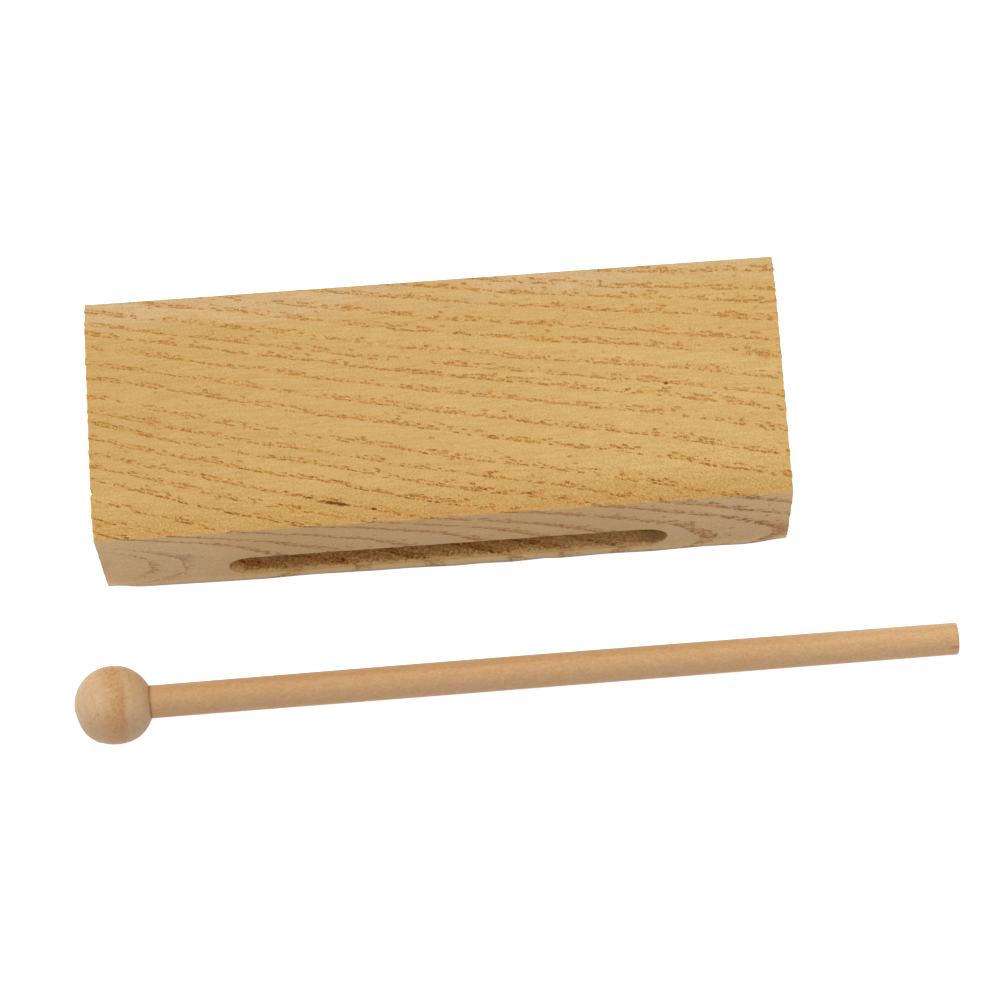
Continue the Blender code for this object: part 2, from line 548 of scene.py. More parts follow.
def planed_colour(p, mm, grain, at_front, from_left):
    """The smooth faces: paler, with browner vessels, and palest low down on the front, where light is
    painted in, with painted shade along the front's lower edge.
    """
    x, _, z = p.xyz(mm)
    to_ends = p.times(p.fade(x, -86.0, -79.0), p.fade(x, 84.0, 90.0, 1.0, 0.7))
    above_lip = p.fade(z, SLOT_LIP, SLOT_LIP - 1.0, 1.0, 0.6)
    lines = p.times(to_ends, p.fade(from_left, -72.0, -58.0, 0.65, 1.0), above_lip)
    tone = p.line(p.between(x, 66.0, 73.0, 81.0, 87.0), -0.42, grain["Bead tone"])
    return p.coats(
        p.mix(p.fade(p.absolute(x), 46.0, 66.0), PLANED["late_middle"], PLANED["late_ends"]),
        # Painted light: paler low down on the front face
        (at_front, p.fade(z, 7.0, 2.0, 0.0, 0.8), PLANED["foot"]),
        # Painted shade along the front's rounded bottom edge
        (at_front, p.fade(z, 1.7, 0.8), 0.8, PLANED["lower_edge"]),
        (grain["Early wood"], lines, 0.42, PLANED["early"]),
        (grain["Halo"], lines, 0.85, PLANED["halo"]),
        (grain["Bead"], lines, 0.8, p.ramp(tone, PLANED_BEADS)),
    )


def torn_colour(p, mm, grain):
    """The routed slot: torn orange fibres at its mouth, browner ones inside with painted shade deeper in
    and at its right end, and frayed ones on its lip with a painted highlight.
    """
    x, y, z = p.xyz(mm)
    tears = p.noise(mm, 1.3, 1.3, 1.3, detail=4.0, roughness=0.7)
    frayed_y = p.add(y, p.swing(1.6, mm, 0.9, 0.9, 0.9, detail=3.0))
    inside = p.mix(p.fade(tears, 0.38, 0.62), TORN["inside_dark"], TORN["inside_light"])
    frayed = p.fade(frayed_y, FRONT + 0.95, FRONT + 0.5)
    near_lip = p.highest(frayed, p.fade(y, FRONT + 0.45, FRONT + 0.25))
    # Painted highlight along the slot's lower lip, frayed by noise
    on_lip = p.times(p.fade(z, SLOT_LIP + 0.6, SLOT_LIP + 0.3), near_lip)
    return p.coats(
        p.mix(p.fade(tears, 0.36, 0.66), TORN["mouth_dark"], TORN["mouth_light"]),
        # Painted shade: the slot's floor turns darker deeper in
        (p.fade(frayed_y, FRONT + 0.3, FRONT + 3.5), inside),
        (grain["Early wood"], 0.6, TORN["early"]),
        (grain["Halo"], 0.5, TORN["halo"]),
        (grain["Bead"], 0.9, TORN["bead"]),
        # Painted shade at the slot's right end
        (p.fade(x, 48.5, 54.5, 0.0, 0.85), TORN["right_end"]),
        (on_lip, p.fade(tears, 0.3, 0.55, 0.6, 1.0), TORN["lip"]),
        (p.fade(x, 15.0, 40.0, 0.0, 0.25), TORN["right"]),
    )


def sawn_timber():
    """Ring-porous hardwood: rough and yellow from the saw on top, planed and paler on the slot's side."""
    material, p, shader, place = new_material("Sawn ring-porous hardwood")
    mm = p.in_millimetres(place)
    x, y, z = p.xyz(mm)
    worn_depth = p.fade(z, 9.0, 6.0, 0.0, 1.1)
    planed = p.fade(p.add(p.absolute(y), worn_depth), BACK - 0.26, BACK - 0.12)
    sawn = p.less(1.0, planed)
    at_back = p.fade(y, -1.0, 1.0)
    at_front = p.less(1.0, at_back)
    routed = p.times(
        p.fade(p.absolute(x), END - 20.0, END - 19.0, 1.0, 0.0),
        p.between(y, FRONT + 0.06, FRONT + 0.14, 20.0, 21.0),
        p.between(z, SLOT_LIP - 0.7, SLOT_LIP - 0.6, 19.2, 19.4),
    )

    from_left = p.line(p.less(z, 20.0), 0.8, x)
    planed_width = p.mix_values(at_back, p.fade(from_left, -70.0, -58.0, 0.45, 1.25), 0.6)
    planed_rows = p.add(p.fade(x, 45.0, 60.0, 0.1, 0.4), p.fade(from_left, -58.0, -63.0, 0.0, 0.5))
    bead_size = {
        "Bead length": p.mix_values(planed, 1.6, p.fade(from_left, -68.0, -58.0, 0.45, 1.5)),
        "Bead width": p.mix_values(planed, 0.85, planed_width),
        "Loose rows": p.mix_values(planed, 1.0, planed_rows),
    }
    grain = p.group(TIMBER_SHADER, Position=place, **bead_size)
    clouds = p.noise(mm, 0.015, 0.06, 0.06)
    cut_end = p.coats(
        CUT_END["late"],
        (grain["Early wood"], 0.5, CUT_END["early"]),
        (grain["Bead"], 0.6, CUT_END["bead"]),
    )
    marks = p.times(dark_streaks(p, mm), p.fade(planed, 0.0, 1.0, 1.0, 0.6))
    colour = p.coats(
        sawn_colour(p, mm, grain, clouds),
        (planed, planed_colour(p, mm, grain, at_front, from_left)),
        (on_cut_ends(p, x, y), sawn, cut_end),
        (marks, p.mix(planed, SAWN["dark_streak"], PLANED["dark_streak"])),
        (routed, torn_colour(p, mm, grain)),
    )

    speckle = p.noise(mm, 1.9, 1.9, 1.9, detail=1.0)
    streaks = p.noise(mm, 0.16, 1.6, 1.6)
    saw_marks = p.noise(p.vector(p.times(p.less(x, y), 0.5), p.times(p.add(x, y), 1.7), z))
    rough_front = p.add(p.fade(y, -12.0, FRONT, 0.46, 0.9), p.fade(x, 20.0, 70.0, 0.0, 0.06))
    sawn_right = p.times(p.fade(y, -8.0, -24.0), p.fade(x, 0.0, 50.0), p.fade(planed, 0.0, 1.0, 0.6, 0.0))
    shade = p.add(
        p.off_middle(speckle, p.mix_values(planed, rough_front, 0.6)),
        p.off_middle(streaks, p.fade(planed, 0.0, 1.0, 0.42, 0.45)),
        p.off_middle(saw_marks, sawn_right),
        p.off_middle(clouds, 0.14),
        p.fade(grain["Year tone"], 0.0, 1.0, -0.02, 0.02),
    )
    fuzz = p.off_middle(speckle, p.line(planed, -0.22, 0.28))
    bead_height = p.fade(grain["Bead tone"], 0.7, 0.9, -0.12, 0.1)
    relief = p.line(grain["Bead"], bead_height, fuzz)
    finish_wood(p, shader, colour, shade, p.fade(planed, 0.0, 1.0, 0.86, 0.62), relief)
    shader.inputs["Specular IOR Level"].default_value = RAW_WOOD_GLOSS
    return material


def close_grain_group():
    """Fine-pored hardwood whose fibres run along X of the given place, in millimetres."""
    tree, p, given, wanted = new_group(
        "Close grain",
        "ShaderNodeTree",
        [("Place", "Vector", None), ("Ring width", "Float", 2.0)],
        [(name, "Float", None) for name in ("Rings", "Flecks", "Streaks", "Speckle")],
    )
    place = given["Place"]
    _, y, z = p.xyz(place)
    sway = p.swing(1.5, place, 0.02, 0.15, 0.15)
    rings = p.math("FRACT", p.math("DIVIDE", p.add(y, p.times(z, 0.35), sway), given["Ring width"]))
    spots = p.scaled(place, 0.55, 2.2, 2.2)
    middle, _ = p.cells(spots)
    p.put(wanted["Rings"], p.between(rings, 0.0, 0.1, 0.1, 0.8))
    p.put(wanted["Flecks"], p.fade(p.stretched(spots, middle), 0.45, 0.15))
    p.put(wanted["Streaks"], p.noise(place, 0.06, 2.0, 2.0, detail=3.0))
    p.put(wanted["Speckle"], p.noise(place, 1.3, 2.4, 2.4))
    return tree


# The colours of the shaft, from its head at the ball to its tail, and of the ball
DOWEL = palette(
    head=(201, 155, 103),
    middle=(215, 168, 115),
    tail=(222, 176, 122),
    streak=(190, 140, 88),
    fleck=(180, 128, 76),
    ring=(188, 138, 86),
    # Painted shade on the shaft's front side and painted light on its back side
    front_side=(194, 148, 102),
    back_side=(216, 178, 134),
    glue=(160, 110, 64),
    tail_rim=(226, 170, 96),
    tail_streak=(166, 104, 66),
)
BALL = palette(
    right=(209, 170, 124),
    # Painted light: the ball paler on its left side
    left=(208, 175, 137),
    # Painted light on the ball's back side and painted shade on its front side
    back_side=(215, 180, 134),
    front_side=(182, 142, 102),
    ring=(196, 146, 90),
    fleck=(184, 134, 82),
    band=(198, 142, 82),
    band_pore=(182, 122, 60),
    band_edge=(176, 120, 68),
    pit=(162, 104, 54),
)


def dowel_wood():
    """The shaft's sanded dowel: soft mottles and short flecks, paler at the tail, stained at the glue,
    with painted shade on its front side and painted light on its back side.
    """
    material, p, shader, place = new_material("Sanded dowel")
    mm = p.in_millimetres(place)
    x, y, _ = p.xyz(mm)
    grain = p.group(CLOSE_GRAIN, Place=mm, **{"Ring width": 2.6})
    mottles = p.noise(mm, 0.35, 0.9, 0.9, detail=3.0, roughness=0.6)
    fine = p.noise(mm, 1.5, 2.0, 2.0)
    side = p.add(y, p.line(x, -math.tan(BEATER_SLANT), -SHAFT_START_Y))
    tail = SHAFT_HIGH.x / MM
    streak_x, streak_side = TAIL_STREAK
    beside_streak = p.absolute(p.less(side, streak_side))
    tail_streak = p.times(p.fade(x, streak_x - 1.8, streak_x + 1.0), p.fade(beside_streak, 0.45, 0.15))
    colour = p.coats(
        p.mix(p.fade(x, -80.0, 60.0), DOWEL["head"], DOWEL["middle"]),
        (p.fade(x, 70.0, 125.0), DOWEL["tail"]),
        (p.fade(grain["Streaks"], 0.5, 0.75, 0.0, 0.3), DOWEL["streak"]),
        (grain["Flecks"], 0.25, DOWEL["fleck"]),
        (grain["Rings"], 0.12, DOWEL["ring"]),
        # Painted shade on the shaft's front side and painted light on its back side
        (p.fade(side, 1.5, -3.5), p.fade(x, 60.0, 120.0, 0.75, 0.6), DOWEL["front_side"]),
        (p.fade(side, 1.5, 4.0, 0.0, 0.6), DOWEL["back_side"]),
        (p.fade(x, GLUE_LINE, GLUE_LINE + 0.6, 0.8, 0.0), DOWEL["glue"]),
        (p.fade(x, tail - 0.9, tail - 0.3, 0.0, 0.6), DOWEL["tail_rim"]),
        (tail_streak, 0.6, DOWEL["tail_streak"]),
    )
    shade = p.add(p.off_middle(mottles, 0.32), p.off_middle(fine, 0.5))
    relief = p.add(p.times(grain["Streaks"], 0.06), p.times(fine, 0.04))
    finish_wood(p, shader, colour, shade, p.fade(grain["Speckle"], 0.2, 0.8, 0.5, 0.66), relief)
    return material


# Marks on the ball, each as its middle, in millimetres from the ball's, and its radius
BALL_PITS = (
    (-3.5, -4.8, 8.3, 0.5),
    (-5.8, -6.2, 5.7, 0.45),
    (-4.6, -5.6, 7.4, 0.35),
    (-4.5, -8.9, -2.3, 0.8),
)


def ball_wood():
    """The ball: its rings lie square to the shaft, with a broad coarse band right of the middle. Light is
    painted on its left and back side, and shade on its front side.
    """
    material, p, shader, place = new_material("Turned pale hardwood")
    mm = p.vector_math("SUBTRACT", p.in_millimetres(place), ball_middle() / MM)[0]
    x, y, z = p.xyz(mm)
    y_squared = p.times(y, y)
    bowed = p.times(x, p.line(y_squared, 0.008, 1.0))
    turned_place = p.vector(y, p.add(bowed, p.times(y, 0.06)), z)
    grain = p.group(CLOSE_GRAIN, Place=turned_place, **{"Ring width": 2.7})
    pores = p.noise(mm, 1.5, 1.3, 1.3, detail=3.0, roughness=0.6)
    fine = p.noise(mm, 2.0, 2.0, 2.0)
    ragged = p.swing(2.2, mm, 0.5, 0.5, 0.5, detail=4.0)
    ring = p.add(x, p.times(y, 0.117), p.times(y_squared, 0.018))
    rim = p.add(ring, p.times(ragged, 0.6))
    band = p.times(p.fade(p.add(ring, ragged), -3.2, 1.2), p.fade(rim, 2.3, 4.5, 1.0, 0.0))
    band_edge = p.times(band, p.fade(rim, 0.6, 3.0, 0.0, 0.4), p.fade(y, 5.0, -1.0))
    pits = 0.0
    for *middle, radius in BALL_PITS:
        pits = p.highest(pits, p.fade(p.stretched(mm, middle), radius, radius * 0.3))
    colour = p.coats(
        # Painted light: paler towards the ball's left
        p.mix(p.fade(x, 2.0, -9.0), BALL["right"], BALL["left"]),
        # Painted light on the back side, painted shade on the front side
        (p.fade(y, 2.0, 9.0, 0.0, 0.7), BALL["back_side"]),
        (p.fade(y, -2.0, -9.0, 0.0, 0.65), BALL["front_side"]),
        (grain["Rings"], 0.22, BALL["ring"]),
        (grain["Flecks"], 0.15, BALL["fleck"]),
        (band, 0.36, BALL["band"]),
        (band, p.fade(pores, 0.46, 0.6, 0.0, 0.7), BALL["band_pore"]),
        (band_edge, BALL["band_edge"]),
        (pits, 0.55, BALL["pit"]),
    )
    slant = 0.36
    slanted = p.vector(
        p.times(p.add(x, p.times(y, slant)), 0.12),
        p.add(y, p.times(x, -slant)),
        p.times(z, 0.5),
    )
    brushed = p.noise(slanted, detail=3.0)
    shade = p.add(p.off_middle(fine, 0.4), p.off_middle(pores, 0.28), p.off_middle(brushed, 0.22))
    relief = p.add(p.times(fine, 0.06), p.times(pits, -0.1), p.times(band, pores, -0.1))
    finish_wood(p, shader, colour, shade, p.fade(grain["Speckle"], 0.2, 0.8, 0.5, 0.66), relief)
    return material


# The sawn ends, left and right: how far each bows out, falls away at its front and back corner, and
# is hollowed at its front edge. The fall starts at this share of the way from the middle to the edge.
END_SHAPES = ((-1, -0.02, 0.4, 0.3, 0.1), (1, 0.03, -0.06, 0.15, -0.08))
FALL_START = 0.72

# The worn lower front corners: which end, how far along the wear goes, and how deep and how high. It
# fades out this far up and inwards.
CORNER_WEAR = ((-1, 10.0, 0.75, 0.7), (1, 13.0, 0.6, 0.8))
WEAR_UP = 9.0
WEAR_IN = 7.0

# The splinter gone from the left end's upper edge: where along Y, from what height, half width, depth,
# and how soon above that height it is this deep
END_NOTCH = (-18.8, 24.0, 1.1, 0.8)
NOTCH_START = 3.0

# How far the lower front edge stands out, in millimetres, at places along X, and how high this reaches
LOWER_EDGE = (
    (-90, 0.15), (-86, -0.12), (-80, -0.1), (-57, 0.15), (-47, 0.2), (-36, -0.1), (-18, 0.12),
    (-10, 0.05), (2, 0.35), (10, 0.2), (18, 0.42), (26, 0.0), (30, 0.3), (42, 0.0), (55, 0.2),
    (69, -0.15), (78, 0.08), (83, 0.2), (90, -0.05),
)
LOWER_EDGE_UP = 3.0

# How far the upper back edge stands out, in millimetres
BACK_EDGE = 0.08

# How far in from an end or from the front its own shape reaches
NEAR_END = 4.0
NEAR_FRONT = 2.0

# The block's mesh: a grid box whose front has a recess, warped into the slot. Grid lines lie at these
# offsets from an edge and from the slot's rim, and at these steps elsewhere.
FINE_EDGE = (0.0, 0.07, 0.2, 0.5, 0.9)
FINE_SLOT = (0.0, 0.12, 0.35, 0.75)
GRID_X = 1.5
GRID_Y = 0.6
GRID_Z = 0.85

# How far round the slot the front face's grid follows the slot's shape
WARP_MARGIN = 4.4

# Lengths below this count as none
TINY = 1e-6


def graded(start, end, step, near_start=(0.0,), near_end=(0.0,)):
    """Grid lines from start to end: given offsets at both ends, and even steps between them."""
    first = start + near_start[-1]
    last = end - near_end[-1]
    count = max(1, math.ceil((last - first) / step))
    lines = [start + offset for offset in near_start[:-1]]
    lines += [first + (last - first) * i / count for i in range(count + 1)]
    lines += [end - offset for offset in reversed(near_end[:-1])]
    return lines


def joined(*runs):
    """Runs of grid lines, one after the other, each starting where the last one ended."""
    lines = list(runs[0])
    for run in runs[1:]:
        lines += run[1:]
    return np.array(lines)


def nearest(lines, value):
    """Which of these grid lines lies at a value."""
    return int(np.argmin(abs(lines - value)))


def eased(value):
    """0 up to 1, with a soft start and end."""
    share = np.clip(value, 0.0, 1.0)
    return share * share * (3 - 2 * share)


def slot_warp(x, z, centre_x, centre_z):
    """Moves a point of the recess, a rectangle, to its place in the slot, which has round ends."""
    radius = SLOT_HEIGHT / 2
    reach = SLOT_LENGTH / 2 - radius
    side = np.sign(x - centre_x)
    s = np.clip((np.abs(x - centre_x) - reach) / radius, 0.0, 1.0)
    t = np.clip((z - centre_z) / radius, -1.0, 1.0)
    round_x = centre_x + side * (reach + radius * s * np.sqrt(1 - t * t / 2))
    round_z = centre_z + radius * t * np.sqrt(1 - s * s / 2)
    in_end = np.abs(x - centre_x) > reach
    return np.where(in_end, round_x, x), np.where(in_end, round_z, z)


def block_mesh():
    """A closed grid of quads over the block and the inside of its slot, in millimetres."""
    radius = SLOT_HEIGHT / 2
    slot_left = SLOT_OFFSET - SLOT_LENGTH / 2
    slot_right = SLOT_OFFSET + SLOT_LENGTH / 2
    slot_top = SLOT_LIP + SLOT_HEIGHT
    slot_back = FRONT + SLOT_REACH
    xs = joined(
        graded(-END, slot_left, GRID_X, FINE_EDGE, FINE_SLOT),
        graded(slot_left, slot_left + radius, GRID_Z, FINE_SLOT),
        graded(slot_left + radius, slot_right - radius, GRID_X),
        graded(slot_right - radius, slot_right, GRID_Z, (0.0,), FINE_SLOT),
        graded(slot_right, END, GRID_X, FINE_SLOT, FINE_EDGE),
    )
    ys = joined(
        graded(FRONT, slot_back, GRID_Y, FINE_EDGE),
        graded(slot_back, BACK, GRID_Y, (0.0,), FINE_EDGE),
    )
    zs = joined(
        graded(0.0, SLOT_LIP, GRID_Z, FINE_EDGE, FINE_SLOT),
        graded(SLOT_LIP, slot_top, GRID_Z, FINE_SLOT, FINE_SLOT),
        graded(slot_top, HEIGHT, GRID_Z, FINE_SLOT, FINE_EDGE),
    )
    last_i, last_j, last_k = len(xs) - 1, len(ys) - 1, len(zs) - 1
    left, right = nearest(xs, slot_left), nearest(xs, slot_right)
    low, high = nearest(zs, SLOT_LIP), nearest(zs, slot_top)
    back = nearest(ys, slot_back)

    index = {}

    def point(i, j, k):
        return index.setdefault((i, j, k), len(index))

    faces = []

    def sheet(ranges, corner):
        """Quads over two ranges of grid cells. corner gives the grid place of a cell's corner."""
        for a in ranges[0]:
            for b in ranges[1]:
                ring = [(a, b), (a + 1, b), (a + 1, b + 1), (a, b + 1)]
                faces.append([point(*corner(m, n)) for m, n in ring])

    along, inward, upward = range(last_i), range(last_j), range(last_k)
    for k in (0, last_k):
        sheet((along, inward), lambda a, b, k=k: (a, b, k))
    for i in (0, last_i):
        sheet((inward, upward), lambda a, b, i=i: (i, a, b))
    sheet((along, upward), lambda a, b: (a, last_j, b))
    sheet((along, range(low)), lambda a, b: (a, 0, b))
    sheet((along, range(high, last_k)), lambda a, b: (a, 0, b))
    for run in (range(left), range(right, last_i)):
        sheet((run, range(low, high)), lambda a, b: (a, 0, b))
    sheet((range(left, right), range(low, high)), lambda a, b: (a, back, b))
    for k in (low, high):
        sheet((range(left, right), range(back)), lambda a, b, k=k: (a, b, k))
    for i in (left, right):
        sheet((range(back), range(low, high)), lambda a, b, i=i: (i, a, b))

    grid = np.array(list(index), dtype=int)
    place = np.stack([xs[grid[:, 0]], ys[grid[:, 1]], zs[grid[:, 2]]], axis=1)
    inner = (grid[:, 0] >= left) & (grid[:, 0] <= right) & (grid[:, 2] >= low) & (grid[:, 2] <= high)
    inner &= grid[:, 1] <= back
    front = (grid[:, 1] == 0) & ~inner
    shape_slot(place, inner, front)
    shape_edges(place, inner)
    shape_wear(place)
    place[:, 0] += PLAN_SKEW * (place[:, 1] - FRONT)
    return place, faces


def shape_slot(place, inner, front):
    """Warps the recess into the slot, and lets the front face round it follow."""
    centre_z = SLOT_LIP + SLOT_HEIGHT / 2
    half_x = SLOT_LENGTH / 2
    half_z = SLOT_HEIGHT / 2
    x, z = place[:, 0].copy(), place[:, 2].copy()
    edge_x = np.clip(x, SLOT_OFFSET - half_x, SLOT_OFFSET + half_x)
    edge_z = np.clip(z, centre_z - half_z, centre_z + half_z)
    new_x, new_z = slot_warp(edge_x, edge_z, SLOT_OFFSET, centre_z)
    away = np.hypot(x - edge_x, z - edge_z)
    share = 1 - away / WARP_MARGIN
    share = np.where(inner, 1.0, np.where(front, eased(share), 0.0))
    place[:, 0] += share * (new_x - edge_x)
    place[:, 2] += share * (new_z - edge_z)
    rim = front | (inner & (place[:, 1] < FRONT + SLOT_ARRIS))
    away_now = np.where(front, away, 0.0)
    depth_now = np.where(inner, place[:, 1] - FRONT, 0.0)
    reach = np.clip(SLOT_ARRIS - away_now - depth_now, 0.0, SLOT_ARRIS)
    drop = SLOT_ARRIS - np.sqrt(np.maximum(SLOT_ARRIS**2 - reach**2, 0.0))
    share_z = np.clip((place[:, 2] - centre_z) / half_z, -1.0, 1.0)
    end = np.clip((np.abs(place[:, 0] - SLOT_OFFSET) - (half_x - half_z)) / half_z, 0.0, 1.0)
    out = np.stack([np.sign(place[:, 0] - SLOT_OFFSET) * end, share_z], axis=1)
    out /= np.maximum(np.linalg.norm(out, axis=1, keepdims=True), TINY)
    corner = rim & inner & (depth_now < TINY)
    turn = SLOT_ARRIS * (1 - math.sqrt(0.5))
    place[front, 1] += drop[front]
    place[corner, 1] += turn
    sideways = np.where(rim & inner, np.where(corner, turn, drop), 0.0)
    place[:, 0] += out[:, 0] * sideways
    place[:, 2] += out[:, 1] * sideways


def shape_edges(place, inner):
    """Rounds the block's outer edges and corners."""
    half = np.array([END, BACK, HEIGHT / 2])
    middle = np.array([0.0, 0.0, HEIGHT / 2])
    outer = ~inner
    offset = place[outer] - middle
    core = np.clip(offset, -(half - ARRIS), half - ARRIS)
    out = offset - core
    size = np.linalg.norm(out, axis=1, keepdims=True)
    place[outer] = middle + core + out / np.maximum(size, TINY) * np.minimum(size, ARRIS)


def shape_wear(place):
    """Bows the sawn ends, wears the lower front corners and breaks a splinter out of the left end."""
    x, y, z = place.T.copy()
    v = y / BACK
    near_end = eased((np.abs(x) - END + NEAR_END) / NEAR_END)
    near_front = np.clip(1 - (y - FRONT) / NEAR_FRONT, 0.0, 1.0)
    for side, bow, front, back, hollow in END_SHAPES:
        out = bow * (1 - v * v) - hollow * near_front * np.sin(np.pi * z / HEIGHT)
        for corner_fall, to_corner in ((front, -v), (back, v)):
            out -= corner_fall * eased((to_corner - FALL_START) / (1 - FALL_START))
        place[:, 0] += np.where(x * side > 0, side * out * near_end, 0.0)
    low_front = (np.clip(1 - z / WEAR_UP, 0.0, 1.0) * np.clip(1 - (y - FRONT) / WEAR_IN, 0.0, 1.0)) ** 1.5
    for side, reach, recess, lift in CORNER_WEAR:
        along = eased(1 - (END - x * side) / reach)
        place[:, 1] += recess * along * low_front
        place[:, 2] += lift * along * low_front
    near_foot = np.clip(1 - z / LOWER_EDGE_UP, 0.0, 1.0)
    place[:, 1] -= np.interp(x, *zip(*LOWER_EDGE)) * near_foot * near_front
    place[:, 1] += BACK_EDGE * eased(v) * eased(z / HEIGHT)
    along_notch, high, half, deep = END_NOTCH
    notch = eased(1 - np.abs(y - along_notch) / half) * eased((z - high) / NOTCH_START) * near_end
    place[:, 0] += np.where(x < 0, deep * notch, 0.0)


def mesh_object(name, points, faces, material):
    """An object at the origin whose mesh has these points, in metres, with its faces pointing out."""
    mesh = bpy.data.meshes.new(name)
    mesh.from_pydata([tuple(p) for p in points], [], faces)
    bm = bmesh.new()
    bm.from_mesh(mesh)
    bmesh.ops.recalc_face_normals(bm, faces=bm.faces)
    bm.to_mesh(mesh)
    bm.free()
    mesh.shade_smooth()
    piece = bpy.data.objects.new(name, mesh)
    bpy.context.scene.collection.objects.link(piece)
    mesh.materials.append(material)
    return piece


def set_inputs(modifier, values):
    """Writes a Geometry Nodes modifier's inputs by the identifiers of their sockets."""
    for item in modifier.node_group.interface.items_tree:
        if item.item_type == "SOCKET" and item.in_out == "INPUT" and item.name in values:
            modifier[item.identifier] = values[item.name]


def baked(piece):
    """Turns a piece and its modifiers into a plain mesh."""
    graph = bpy.context.evaluated_depsgraph_get()
    mesh = bpy.data.meshes.new_from_object(piece.evaluated_get(graph))
    piece.modifiers.clear()
    piece.data = mesh


def surface_tree():
    """Geometry nodes that roughen a sawn block: pores, ring ridges, torn ends and a torn slot."""
    tree, p, given, wanted = new_group(
        "Sawn surface",
        "GeometryNodeTree",
        [
            ("Geometry", "Geometry", None),
            ("Material", "Material", None),
            ("Saw relief", "Float", 0.05),
            ("Pore depth", "Float", 0.04),
            ("End tear", "Float", 0.3),
            ("Slot tear", "Float", 0.3),
            ("Fibres", "Int", 90),
            ("Seed", "Int", 4),
        ],
        [("Geometry", "Geometry", None)],
    )
    place = p.node("GeometryNodeInputPosition").outputs[0]
    normal = p.node("GeometryNodeInputNormal").outputs[0]
    grain = p.group(TIMBER_GEOMETRY, Position=place)
    mm = p.in_millimetres(place)
    x, y, z = p.xyz(mm)
    at_end = p.fade(p.absolute(square_x(p, x, y)), END - 1.0, END - 0.1)
    in_slot = p.times(
        p.fade(p.absolute(x), END - 25.0, END - 24.0, 1.0, 0.0),
        p.between(y, FRONT - 0.2, FRONT + 0.6, 20.0, 24.0),
        p.between(z, 3.0, 4.2, 19.6, 20.6),
    )
    early = grain["Early wood"]
    torn_end = p.add(p.swing(0.8, mm, 0.5, 1.1, 0.9, detail=3.0), p.times(early, 0.8))
    amount = p.add(
        p.times(p.swing(1.0, mm, 0.35, 0.8, 0.8, detail=3.0), given["Saw relief"]),
        p.times(early, given["Pore depth"], -1.0),
        p.times(torn_end, at_end, given["End tear"]),
        p.times(p.swing(1.0, mm, 0.6, 0.5, 0.8, detail=4.0), in_slot, given["Slot tear"]),
    )
    outwards = p.named("ShaderNodeVectorMath", {"Scale": p.times(amount, MM)}, operation="SCALE")
    p.put(outwards.inputs[0], normal)
    raised = p.vector_math("ADD", place, outwards.outputs[0])[0]
    above_table = p.vector_math("MAXIMUM", raised, (-1.0, -1.0, 0.0))[0]
    shifted = {"Geometry": given["Geometry"], "Position": above_table}
    both = p.node("GeometryNodeJoinGeometry")
    p.put(both.inputs[0], p.named("GeometryNodeSetPosition", shifted).outputs[0])
    p.put(both.inputs[0], lip_fibres(p, given["Fibres"], given["Seed"]))
    finish_tree(p, both.outputs[0], given["Material"], wanted)
    return tree


def drawn_values(p, seed, shift, low, high):
    """A random vector for each point, between low and high."""
    made = p.filled("FunctionNodeRandomValue", low, high, data_type="FLOAT_VECTOR")
    p.put(made.inputs["Seed"], p.add(seed, float(shift)))
    return made.outputs[0]


def lip_fibres(p, count, seed):
    """Torn slivers that the router left along the slot's lower lip."""
    half = (SLOT_LENGTH / 2 - SLOT_HEIGHT / 2) * MM
    low = (SLOT_OFFSET * MM - half, (FRONT + 0.05) * MM, (SLOT_LIP - 0.2) * MM)
    high = (SLOT_OFFSET * MM + half, (FRONT + 1.0) * MM, (SLOT_LIP + 0.05) * MM)
    places = {"Count": count, "Position": drawn_values(p, seed, 0, low, high)}
    sliver = {"Vertices": 5, "Radius Top": 0.0, "Radius Bottom": 0.13 * MM, "Depth": 1.0 * MM}
    scattered = {
        "Points": p.named("GeometryNodePoints", places).outputs[0],
        "Instance": p.named("GeometryNodeMeshCone", sliver).outputs[0],
        "Rotation": drawn_values(p, seed, 1, (0.2, -1.4, -0.6), (1.5, 1.4, 0.6)),
        "Scale": drawn_values(p, seed, 2, (0.4, 0.4, 0.4), (1.1, 1.1, 1.1)),
    }
    return p.named("GeometryNodeInstanceOnPoints", scattered).outputs[0]


def finish_tree(p, geometry, material, wanted):
    """Ends a geometry tree: real geometry, one material."""
    real = p.filled("GeometryNodeRealizeInstances", geometry).outputs[0]
    painted = p.named("GeometryNodeSetMaterial", {"Geometry": real, "Material": material})
    p.put(wanted["Geometry"], painted.outputs[0])


def make_block():
    """The block, its faces roughened as the saw, the router and the pores leave them."""
    material = sawn_timber()
    points, faces = block_mesh()
    block = mesh_object("sawn_block", points * MM, faces, material)
    surface = block.modifiers.new("Sawn surface", "NODES")
    surface.node_group = surface_tree()
    set_inputs(surface, {"Material": material, "Saw relief": 0.05, "End tear": 0.28, "Slot tear": 0.35})
    baked(block)
    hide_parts("wood_block")
    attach(block, "block")


